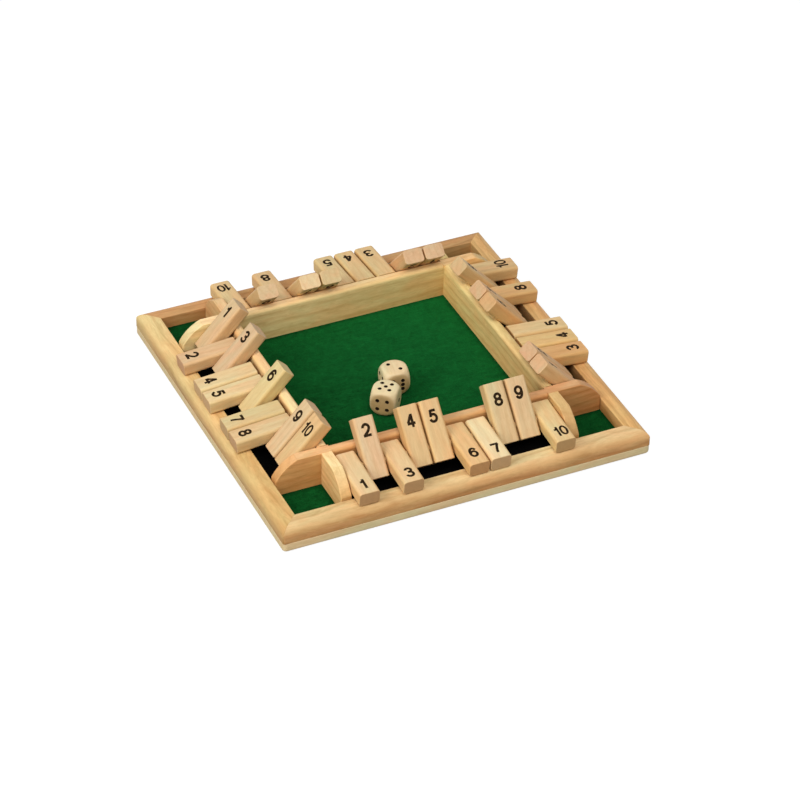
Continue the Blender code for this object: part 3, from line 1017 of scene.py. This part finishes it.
@dataclass
class ArenaWalls(Job):
    """Four walls that cross-lap at the arena's corners and run on as curved cheeks for the dowels."""

    rounding: float = 0.003
    cheek_rounding: float = 0.0008
    lap_share: float = 0.5
    cheek_cap: float = 0.0043
    nose_height: float = 0.0124
    belly: float = 0.0021
    cheek_steps: int = 14
    socket_radius: float = 0.0028
    overrun: float = 0.001
    bearing: Point = (50.0, 85.0)
    # Each wall takes a painted shade at its foot and painted sheen on its level faces
    tonings: dict[Side, Toning] = each_side(
        Toning((0.94, 0.74, 0.62), (0.92, 0.86, 0.78), run=(0.86, 0.76, 0.74), top_wear=1.0),
        Toning((1.11, 1.19, 1.12), (0.92, 0.86, 0.78), run=(1.30, 1.60, 1.60), top_wear=0.10),
        Toning((1.11, 1.28, 1.30), (0.92, 0.86, 0.78), (1.13, 0.94, 0.87), (1.14, 1.30, 1.60),
               top_wear=0.7),
        Toning((1.12, 1.10, 1.12), (0.92, 0.86, 0.78), (1.10, 1.16, 1.20), (1.24, 1.38, 1.40),
               top_wear=0.35),
    )

    def cheek_cuts(self, sense: int) -> list[Cut]:
        """Work out the planes that shape a cheek's swelling curve.

        Args:
            sense: 1 for the wall's right end or -1 for its left end.

        Returns:
            A point and the outward direction of each plane.
        """
        start = Vector((self.layout.rod_out + self.cheek_cap, self.layout.wall_top))
        nose = self.layout.rail_inner - self.layout.end_play
        end = Vector((nose, self.layout.wall_base + self.nose_height))
        half = (end - start).length / 2
        radius = (half * half + self.belly * self.belly) / (2 * self.belly)
        along = (end - start).normalized()
        out = Vector((-along.y, along.x))
        sweep = math.asin(half / radius)
        points = []
        for step in range(self.cheek_steps + 1):
            angle = sweep * (2 * step / self.cheek_steps - 1)
            points.append(start + along * (half + radius * math.sin(angle))
                          + out * (self.belly - radius + radius * math.cos(angle)))
        cuts = []
        for here, there in zip(points, points[1:]):
            step = (there - here).normalized()
            cuts.append(((sense * here.x, 0.0, here.y), (sense * -step.y, 0.0, step.x)))
        return cuts

    def cheek(self, sense: int, notched_below: bool) -> Workpiece:
        """Shape one end of the near wall, from the arena's corner to the rail.

        Args:
            sense: 1 for the wall's right end or -1 for its left end.
            notched_below: Whether its notch is open below, so that it lies over the wall it crosses.

        Returns:
            The cheek, with its notch and the dowel's socket.
        """
        layout = self.layout
        inner, outer = layout.wall_inner, layout.wall_outer
        base, top = layout.wall_base, layout.wall_top
        joint = inner - layout.hairline
        start, end = sorted((sense * joint, sense * (layout.rail_inner - layout.end_play)))
        cheek = Workpiece.block("cheek_pattern", (start, -outer, base), (end, -inner, top))
        cheek.plane_off(self.cheek_cuts(sense))
        on_face = lying({1: -outer}, {1: -inner})
        at_arena = lying({0: sense * joint})
        above = base + CLOSE
        cheek.round_edges(lambda a, b: on_face(a, b) and not at_arena(a, b) and max(a.z, b.z) > above,
                          self.cheek_rounding, steps=4)

        lap = base + layout.wall_height * self.lap_share
        low, high = (base - self.overrun, lap) if notched_below else (lap, top + self.overrun)
        first, last = sorted((sense * (joint - self.overrun), sense * (outer + layout.hairline)))
        notch = Workpiece.block("notch", (first, -outer - self.overrun, low),
                                (last, -inner + self.overrun, high))
        depth = layout.socket_depth + self.overrun
        middle = (sense * layout.rod_out, -inner + self.overrun - depth / 2, layout.rod_z)
        socket = Workpiece.dowel("socket", self.socket_radius, depth, middle, (QUARTER, 0, 0), sides=32)
        notch.join([socket])
        cheek.cut_with(notch)
        return cheek

    def pattern(self, notched_below: bool) -> Workpiece:
        """Shape the near wall.

        Args:
            notched_below: Whether its notches are open below, so that it lies over the walls it crosses.

        Returns:
            The wall, in the near side's place.
        """
        layout = self.layout
        half = layout.wall_inner - layout.hairline
        wall = Workpiece.block("wall_pattern", (-half, -layout.wall_outer, layout.wall_base),
                               (half, -layout.wall_inner, layout.wall_top))
        wall.round_edges(lying({2: layout.wall_top}, along=0), self.rounding, steps=7)
        wall.join([self.cheek(-1, notched_below), self.cheek(1, notched_below)])
        wall.shade()
        return wall

    def build(self) -> None:
        """Shape the walls and hand them over."""
        for notched_below, sides in ((True, (Side.NEAR, Side.FAR)), (False, (Side.RIGHT, Side.LEFT))):
            pattern = self.pattern(notched_below)
            for side in sides:
                pattern.record_grain(Sawing.pick(self.chance, Axis.X, self.bearing, self.tonings[side]))
                self.fit(pattern, side, "arena_wall", "wall", "wall_wood")
            pattern.put_away()


@dataclass
class PivotRods(Job):
    """Four dowels, each of which carries a bank of tiles."""

    radius: float = 0.0025
    end_easing: float = 0.0004
    bearing: Point = (0.0, 360.0)

    def build(self) -> None:
        """Turn the dowels and hand them over."""
        half = self.layout.wall_inner + self.layout.socket_depth - self.layout.end_play
        middle = (0.0, -self.layout.rod_out, self.layout.rod_z)
        pattern = Workpiece.dowel("rod_pattern", self.radius, 2 * half, middle, (0, QUARTER, 0), sides=40)
        pattern.round_edges(lying({0: half}, {0: -half}), self.end_easing, steps=2)
        pattern.shade()
        for side in Side:
            pattern.record_grain(Sawing.pick(self.chance, Axis.X, self.bearing))
            self.fit(pattern, side, "dowel", "pivot_rod", "rod_wood")
        pattern.put_away()


def bow(middle: Point, radii: Point, start: float, end: float, steps: int) -> list[Point]:
    """Follow part of an oval.

    Args:
        middle: The oval's middle.
        radii: Its half width and half height.
        start: The angle that it starts at.
        end: The angle that it ends at.
        steps: How many straight steps it has.

    Returns:
        The points along it.
    """
    angles = [math.radians(start + (end - start) * step / steps) for step in range(steps + 1)]
    return [(middle[0] + radii[0] * math.cos(angle), middle[1] + radii[1] * math.sin(angle))
            for angle in angles]


@dataclass
class NumberStamp:
    """Bold upright figures, made of strokes of one width whose ink stands a hair above the wood."""

    height: float = 0.0105
    width: float = 0.0070
    stroke: float = 0.0021
    ink_depth: float = 0.00005
    pair_stroke: float = 0.0018
    pair_squeeze: float = 0.94
    pair_gap: float = 0.0009
    one_share: float = 0.54
    one_nudge: float = 0.12

    def strokes(self, figure: str) -> list[list[Point]]:
        """Give the strokes of a figure, in shares of the space between its outer strokes' middles.

        Args:
            figure: One of the figures 0 to 9.

        Returns:
            The points of each stroke. A stroke that ends where it starts is closed.
        """
        six = [bow((0.5, 0.32), (0.5, 0.32), 90, 450, 28), bow((0.55, 0.46), (0.55, 0.54), 190, 36, 20)]
        return {
            "0": [bow((0.5, 0.5), (0.5, 0.5), 90, 450, 32)],
            "1": [[(0.62, -0.1), (0.62, 1.1)], [(0.60, 0.92), (0.46, 0.80), (0.30, 0.755), (0.08, 0.75)]],
            "2": [bow((0.5, 0.70), (0.49, 0.30), 178, -28, 20)
                  + [(0.80, 0.43), (0.58, 0.29), (0.34, 0.17), (0.14, 0.07), (0.04, -0.04)],
                  [(-0.14, 0.0), (1.14, 0.0)]],
            "3": [bow((0.48, 0.765), (0.44, 0.235), 172, -90, 20), [(0.30, 0.53), (0.52, 0.53)],
                  bow((0.48, 0.265), (0.52, 0.265), 90, -172, 22)],
            "4": [[(0.70, -0.1), (0.70, 1.1)], [(0.66, 1.02), (-0.03, 0.31)],
                  [(-0.15, 0.25), (1.15, 0.25)]],
            "5": [[(0.16, 1.0), (1.04, 1.0)], [(0.24, 1.07), (0.12, 0.45)],
                  bow((0.47, 0.33), (0.53, 0.33), 138, -168, 24)],
            "6": six,
            "7": [[(-0.14, 1.0), (1.14, 1.0)],
                  [(1.05, 1.02), (0.80, 0.72), (0.58, 0.38), (0.44, 0.08), (0.40, -0.1)]],
            "8": [bow((0.5, 0.765), (0.43, 0.235), 90, 450, 26),
                  bow((0.5, 0.265), (0.51, 0.265), 90, 450, 28)],
            "9": [[(1.0 - x, 1.0 - y) for x, y in points] for points in six],
        }[figure]

    def figure(self, number: int) -> Workpiece:
        """Stamp a number, upright on the XY plane and centred on the origin.

        Args:
            number: The number, from 1 to 10.

        Returns:
            The ink.
        """
        single = number < 10
        stroke = self.stroke if single else self.pair_stroke
        line = bpy.data.curves.new("stamp", "CURVE")
        line.dimensions = "3D"
        line.twist_mode = "Z_UP"
        line.bevel_depth = stroke / 2
        line.bevel_resolution = 2
        line.use_fill_caps = True
        tall = self.height - stroke
        wide = (self.width - self.stroke) * (1.0 if single else self.pair_squeeze)
        advance = self.one_share * wide + stroke + self.pair_gap
        left = -wide / 2 if single else -wide / 2 - advance / 2
        if number == 1:
            left -= self.one_nudge * wide
        for figure in str(number):
            for points in self.strokes(figure):
                closed = math.dist(points[0], points[-1]) < CLOSE
                points = points[:-1] if closed else points
                spline = line.splines.new("POLY")
                spline.points.add(len(points) - 1)
                spline.use_cyclic_u = closed
                for knot, (x, y) in zip(spline.points, points):
                    knot.co = (left + x * wide, (y - 0.5) * tall, 0.0, 1.0)
            left += advance
        ink = bpy.data.objects.new("stamp", line)
        bpy.context.scene.collection.objects.link(ink)
        deselect()
        ink.select_set(True)
        bpy.context.view_layer.objects.active = ink
        bpy.ops.object.convert(target="MESH")
        bpy.context.object.scale.z = 2 * self.ink_depth / stroke
        return Workpiece("stamp")


@dataclass
class TileBanks(Job):
    """Four banks of ten number tiles, some down on the rail and some flipped back on the wall."""

    stamp: NumberStamp = field(default_factory=NumberStamp)
    per_side: int = 10
    spacing: float = 0.00134
    rail_lap: float = 0.012
    upper_half: float = 0.0054
    lower_half: float = 0.0062
    heel_play: float = 0.00055
    long_rounding: float = 0.0025
    end_rounding: float = 0.0006
    bore_radius: float = 0.0028
    bore_overrun: float = 0.001
    rail_rounding: float = 0.008
    wall_rounding: float = 0.003
    seat_gap: float = 0.0003
    upper_inset: float = 0.0106
    lower_inset: float = 0.0118
    flipped: dict[Side, tuple[int, ...]] = each_side(
        (2, 4, 5, 8, 9), (1, 2, 6, 7, 9), (1, 2, 6, 7, 9), (1, 3, 6, 9, 10))
    tones: dict[Side, str] = each_side(
        "TAN ROSE TAN AMBER AMBER AMBER CREAM TAN ROSE STRAW",
        "ROSE ROSE AMBER STRAW OAT AMBER ROSE AMBER TAN TAN",
        "ROSE ROSE TAN TAN TAN TAN CREAM TAN ROSE TAN",
        "ROSE ROSE ROSE OAT OAT STRAW TAN TAN ROSE AMBER")
    # A colour factor on each side's tiles
    stains: dict[Side, Colour] = each_side(
        (0.92, 0.93, 0.95), (0.91, 0.87, 0.82), (0.96, 0.94, 0.90), (0.87, 0.88, 0.88))
    stamp_drift: dict[Side, tuple[float, ...]] = each_side(
        (-0.0001, -0.0015, -0.0006, 0.0003, 0.0011, 0.0019, 0.0004, 0.0014, 0.0002, 0.0),
        (0.0003, -0.0004, -0.0002, -0.0003, 0.0003, -0.0002, 0.0004, 0.0013, 0.0, 0.0010),
        (0.0002, -0.0003, 0.0004, 0.0003, -0.0002, 0.0003, -0.0002, -0.0003, 0.0002, -0.0005),
        (-0.0018, 0.0, -0.0018, 0.0004, -0.0002, -0.0014, 0.0006, -0.0003, 0.0006, 0.0002))
    stamp_play: float = 0.0003
    tint_spread: Point = (0.97, 1.03)
    bearing: Point = (25.0, 100.0)
    # Painted light on tiles that stand flipped, and painted sheen on the tiles' level faces
    flipped_end_depth: float = 0.22
    flipped_end_wear: float = 0.65
    face_wear: float = 0.4
    flipped_shade: float = 0.95

    @property
    def pitch(self) -> float:
        """Distance from one tile to the next."""
        return self.layout.arena_side / self.per_side

    @property
    def reach(self) -> float:
        """Distance from the dowel's axis to a tile's free end."""
        return self.layout.rail_inner + self.rail_lap - self.layout.rod_out

    @property
    def heel(self) -> float:
        """Distance from the dowel's axis to a tile's heel, which clears the wall as it turns."""
        return math.sqrt((self.layout.rod_setback - self.heel_play) ** 2 - self.lower_half ** 2)

    def tilt(self, is_flipped: bool) -> float:
        """Work out how far a tile is turned about its dowel.

        Args:
            is_flipped: Whether it leans on the wall rather than on the rail.

        Returns:
            The turn about X, in radians.
        """
        layout = self.layout
        if is_flipped:
            back = layout.rod_out - (layout.wall_outer - self.wall_rounding)
            rise = layout.wall_top - self.wall_rounding - layout.rod_z
            offset = self.upper_half + self.wall_rounding + self.seat_gap
            return math.atan2(rise, back) + math.asin(offset / math.hypot(back, rise)) - math.pi
        out = layout.rail_outer - self.rail_rounding - layout.rod_out
        drop = layout.rod_z - (layout.rail_top - self.rail_rounding)
        offset = self.lower_half + self.rail_rounding + self.seat_gap
        return math.atan2(drop, out) - math.asin(offset / math.hypot(out, drop))

    def pattern(self) -> Workpiece:
        """Shape a tile with its bore on the origin and its free end towards -Y.

        Returns:
            The tile.
        """
        half = (self.pitch - self.spacing) / 2
        tile = Workpiece.block("tile_pattern", (-half, -self.reach, -self.lower_half),
                               (half, self.heel, self.upper_half))
        tile.round_edges(lying(along=1), self.long_rounding, steps=8)
        tile.round_edges(lying({1: -self.reach}, {1: self.heel}), self.end_rounding, steps=3)
        tile.cut_with(Workpiece.dowel("bore", self.bore_radius, 2 * (half + self.bore_overrun), (0, 0, 0),
                                      (0, QUARTER, 0), sides=32))
        tile.shade()
        return tile

    def numerals(self, number: int) -> Workpiece:
        """Stamp both broad faces of a tile, each so that it reads upright when that face is up.

        Args:
            number: The tile's number.

        Returns:
            The ink on both faces.
        """
        stamp = self.stamp.figure(number)
        above = Matrix.Translation((0, self.upper_inset - self.reach, self.upper_half))
        below = Matrix.Translation((0, self.lower_inset - self.reach, -self.lower_half))
        upper = stamp.copy("upper_stamp", above)
        lower = stamp.copy("lower_stamp", below @ Matrix.Rotation(math.pi, 4, "X"))
        stamp.put_away()
        upper.join([lower])
        upper.activate()
        bpy.ops.object.shade_smooth_by_angle(angle=math.radians(50.0))
        upper.dress(self.finishes["number_ink"])
        return upper

    def sawing(self, side: Side, number: int, is_flipped: bool) -> Sawing:
        """Pick where a tile was sawn from, with the tone that the tile has, and painted shade and highlight
        if it stands flipped.

        Args:
            side: The tile's side of the board.
            number: Its number.
            is_flipped: Whether it leans on the wall.

        Returns:
            The place in the log.
        """
        tone = Tone[self.tones[side].split()[number - 1]].value
        # Flipped tiles take a painted shade; their end grain, facing up to the lamps, keeps little
        # darkening and takes a painted highlight
        shade = self.flipped_shade if is_flipped else 1.0
        tint = tuple([part * self.chance.uniform(*self.tint_spread) * (side_tint * shade)
                      for part, side_tint in zip(tone, self.stains[side])])
        ends = (self.flipped_end_depth, self.flipped_end_wear) if is_flipped else (1.0, 0.0)
        toning = Toning(tint, end_depth=ends[0], end_wear=ends[1], top_wear=self.face_wear)
        return Sawing.pick(self.chance, Axis.Y, self.bearing, toning)

    def build(self) -> None:
        """Shape the tiles, stamp them and hand them over."""
        pattern = self.pattern()
        for number in range(1, self.per_side + 1):
            numerals = self.numerals(number)
            for side in Side:
                label = f"{side.label}_{number:02d}"
                along = -self.layout.wall_inner + (number - 0.5) * self.pitch
                is_flipped = number in self.flipped[side]
                turn = Matrix.Rotation(self.tilt(is_flipped), 4, "X")
                set_in = Matrix.Translation((along, -self.layout.rod_out, self.layout.rod_z))
                place = side.turn @ set_in @ turn
                pattern.record_grain(self.sawing(side, number, is_flipped))
                tile = pattern.copy("number_tile_" + label, place)
                tile.dress(self.finishes["tile_wood"])
                tile.hand_over("tile_" + label, "tile_" + label, "tile_wood")
                drift = self.stamp_drift[side][number - 1]
                play = self.chance.uniform(-self.stamp_play, self.stamp_play)
                figures = numerals.copy("numerals_" + label, place @ Matrix.Translation((play, drift, 0)))
                figures.hand_over("tile_" + label)
            numerals.put_away()
        pattern.put_away()


@dataclass
class DicePair(Job):
    """Two wooden dice, cubes whose edges and corners are turned down to a ball, with painted pips."""

    edge: float = 0.021
    ball_radius: float = 0.014
    crease_power: float = 20.0
    cuts: int = 24
    pip_radius: float = 0.0016
    pip_floor_radius: float = 0.0011
    pip_depth: float = 0.0007
    pip_spacing: float = 0.0038
    drill_overrun: float = 0.001
    foot: Colour = (0.92, 0.86, 0.76)
    front_share: Point = (-0.0882, -0.1768)
    rear_share: Point = (0.786, 0.998)
    front_turn: float = -39.2
    rear_turn: float = -7.0
    patterns: dict[int, tuple[tuple[int, int], ...]] = field(default_factory=lambda: {
        1: ((0, 0),),
        2: ((-1, 1), (1, -1)),
        3: ((-1, 1), (0, 0), (1, -1)),
        4: ((-1, 1), (1, 1), (-1, -1), (1, -1)),
        5: ((-1, 1), (1, 1), (0, 0), (-1, -1), (1, -1)),
        6: ((-1, 1), (1, 1), (-1, 0), (1, 0), (-1, -1), (1, -1)),
    })
    facings: dict[str, tuple[int, int]] = field(default_factory=lambda: {
        "+Z": (0, 0), "-Z": (0, 2), "-Y": (0, 1), "+Y": (0, -1), "+X": (1, 1), "-X": (-1, 1),
    })

    def facing(self, face: str) -> Matrix:
        """Turn from the upper face to another one, such as "-Y", by quarters about X and then Z."""
        spin, tip = self.facings[face]
        return Matrix.Rotation(spin * QUARTER, 4, "Z") @ Matrix.Rotation(tip * QUARTER, 4, "X")

    def turn_down(self, blank: Workpiece) -> None:
        """Turn a cubic blank down to where both its faces and the ball let its surface lie.

        Args:
            blank: The blank, centred on the origin.
        """
        blank.activate()
        bpy.ops.object.mode_set(mode="EDIT")
        bpy.ops.mesh.select_all(action="SELECT")
        bpy.ops.mesh.subdivide(number_cuts=self.cuts)
        bpy.ops.object.mode_set(mode="OBJECT")
        for vertex in blank.shape.data.vertices:
            reaches = [abs(part) / (self.edge / 2) for part in vertex.co]
            reaches.append(vertex.co.length / self.ball_radius)
            vertex.co /= sum(reach ** self.crease_power for reach in reaches) ** (1.0 / self.crease_power)

    def die(self, name: str, faces: dict[str, int], middle: Sequence[float], turn: float,
            sawing: Sawing) -> None:
        """Shape a die, set it on the felt and hand it over.

        Args:
            name: "front" or "rear".
            faces: The number of pips on each face.
            middle: Where it stands.
            turn: How far it is turned about the vertical.
            sawing: Where its wood was sawn from.
        """
        half = self.edge / 2
        die = Workpiece.block(name + "_die_blank", (-half, -half, -half), (half, half, half))
        self.turn_down(die)
        die.dress(self.finishes["die_wood"])
        slope = (self.pip_radius - self.pip_floor_radius) / self.pip_depth
        length = self.pip_depth + self.drill_overrun
        drill = Workpiece.dowel("drill", self.pip_floor_radius, length,
                                (0, 0, half + self.drill_overrun - length / 2), (0, 0, 0), sides=20,
                                end_radius=self.pip_radius + slope * self.drill_overrun)
        drill.dress(self.finishes["pip_paint"])
        pips = []
        for face, count in faces.items():
            for across, up in self.patterns[count]:
                shift = Matrix.Translation((across * self.pip_spacing, up * self.pip_spacing, 0))
                pips.append(drill.copy("pip", self.facing(face) @ shift))
        drill.put_away()
        pips[0].join(pips[1:])
        die.cut_with(pips[0])
        die.shade(angle=40.0)
        die.record_grain(sawing)
        place = Matrix.Translation((*middle, self.layout.wall_base + half))
        finished = die.copy(name + "_die", place @ Matrix.Rotation(math.radians(turn), 4, "Z"))
        die.put_away()
        finished.hand_over("die_" + name, "die_" + name, "die_wood")

    def build(self) -> None:
        """Shape the two dice and hand them over."""
        # The dice take a painted shade that deepens towards their foot
        toning = Toning(foot=self.foot)
        front = [share * self.layout.arena_side for share in self.front_share]
        rear = [place + share * self.edge for place, share in zip(front, self.rear_share)]
        self.die("front", {"+Z": 5, "-Z": 2, "-Y": 4, "+Y": 3, "+X": 1, "-X": 6}, front, self.front_turn,
                 Sawing(Axis.Y, 0.7, (0.06, 0.02), toning))
        self.die("rear", {"+Z": 2, "-Z": 5, "-Y": 6, "+Y": 1, "-X": 4, "+X": 3}, rear, self.rear_turn,
                 Sawing(Axis.Y, 1.9, (0.03, 0.07), toning))


@dataclass
class Studio:
    """The camera, a white floor and sky, and two broad soft lamps, at the left and above the front."""

    azimuth: float = -24.91
    elevation: float = 36.66
    roll: float = 0.87
    distance: float = 2.617
    target: Triple = (0.0048, -0.01326, 0.0)
    focal_length: float = 153.045
    sensor: float = 36.0
    lamps: dict[str, tuple[Triple, float]] = field(default_factory=lambda: {
        "left_lamp": ((-1.17, -0.33, 0.88), 11.7),
        "front_lamp": ((-0.075, -0.75, 1.30), 9.5),
    })
    lamp_size: float = 0.8
    sky_level: float = 0.35
    floor_size: float = 14.0
    floor_drop: float = 0.0002
    floor_shadow_share: float = 0.20
    floor_glow: float = 1.12
    floor_bounce: float = 0.45
    paper_shades: tuple[Colour, Colour] = ((0.88, 0.88, 0.88), (0.92, 0.92, 0.92))
    paper_stretch: Triple = (60.0, 60.0, 60.0)

    def camera(self) -> None:
        """Set the camera at the photograph's viewing angle."""
        azimuth, elevation, roll = map(math.radians, (self.azimuth, self.elevation, self.roll))
        back = Vector((math.sin(azimuth) * math.cos(elevation), -math.cos(azimuth) * math.cos(elevation),
                       math.sin(elevation)))
        right = Vector((0, 0, 1)).cross(back).normalized()
        up = back.cross(right)
        across = right * math.cos(roll) + up * math.sin(roll)
        upright = up * math.cos(roll) - right * math.sin(roll)
        lens = bpy.data.cameras.new("camera")
        lens.lens = self.focal_length
        lens.sensor_width = self.sensor
        lens.clip_start = 0.05
        lens.clip_end = 100.0
        camera = bpy.data.objects.new("camera", lens)
        camera.matrix_world = (Matrix.Translation(Vector(self.target) + back * self.distance)
                               @ Matrix((across, upright, back)).transposed().to_4x4())
        bpy.context.scene.collection.objects.link(camera)
        bpy.context.scene.camera = camera

    def lamp(self, name: str, place: Triple, power: float) -> None:
        """Hang a square soft lamp that faces the middle of the board.

        Args:
            name: The lamp's name.
            place: Where it hangs.
            power: Its power in watts.
        """
        light = bpy.data.lights.new(name, "AREA")
        light.energy = power
        light.size = self.lamp_size
        lamp = bpy.data.objects.new(name, light)
        lamp.location = place
        lamp.rotation_euler = Vector(place).to_track_quat("Z", "Y").to_euler()
        bpy.context.scene.collection.objects.link(lamp)

    def sky(self) -> None:
        """Surround the board with an even pale light that looks white behind it."""
        sketch = ShaderSketch(bpy.data.worlds.new("sky"))
        level = sketch.add("ShaderNodeMix", {0: sketch.seen(), 2: self.sky_level, 3: 1.0})
        sketch.feed(sketch.tree.nodes["Background"], {"Color": PLAIN, "Strength": level.outputs[0]})
        bpy.context.scene.world = sketch.owner

    def floor(self) -> None:
        """Lay a white floor that keeps the board's soft shadow."""
        deselect()
        bpy.ops.mesh.primitive_plane_add(size=self.floor_size, location=(0, 0, -self.floor_drop))
        floor = Workpiece("floor")
        sketch = ShaderSketch.named("white_floor")
        grain = sketch.noise(sketch.place(), self.paper_stretch, 3.0)
        seen = sketch.seen()
        paper = sketch.mix(grain, *self.paper_shades)
        sketch.dress(Base_Color=sketch.mix(seen, (self.floor_bounce,) * 3, paper), Roughness=0.9,
                     Specular_IOR_Level=0.0)
        glow = sketch.add("ShaderNodeEmission", {"Color": PLAIN, "Strength": self.floor_glow})
        layers = {0: sketch.times(seen, 1.0 - self.floor_shadow_share), 1: sketch.shader.outputs[0],
                  2: glow.outputs[0]}
        both = sketch.add("ShaderNodeMixShader", layers)
        sketch.feed(sketch.tree.nodes["Material Output"], {"Surface": both.outputs[0]})
        floor.dress(sketch.owner)

    def build(self) -> None:
        """Set up the camera, the light and the floor."""
        self.camera()
        for name, (place, power) in self.lamps.items():
            self.lamp(name, place, power)
        self.sky()
        self.floor()
        bpy.context.scene.view_settings.view_transform = "Standard"


def main() -> None:
    """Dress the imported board, piece by piece."""
    logging.basicConfig(level=logging.INFO, format="%(name)s: %(message)s")
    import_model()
    deselect()
    layout = Layout()
    finishes = {use: finish.material() for use, finish in FINISHES.items()}
    chance = random.Random(12)
    Studio().build()
    for job in (BasePanel, RailFrame, FeltWork, ArenaWalls, PivotRods, TileBanks, DicePair):
        job(layout, finishes, chance).build()


if __name__ == "__main__":
    main()
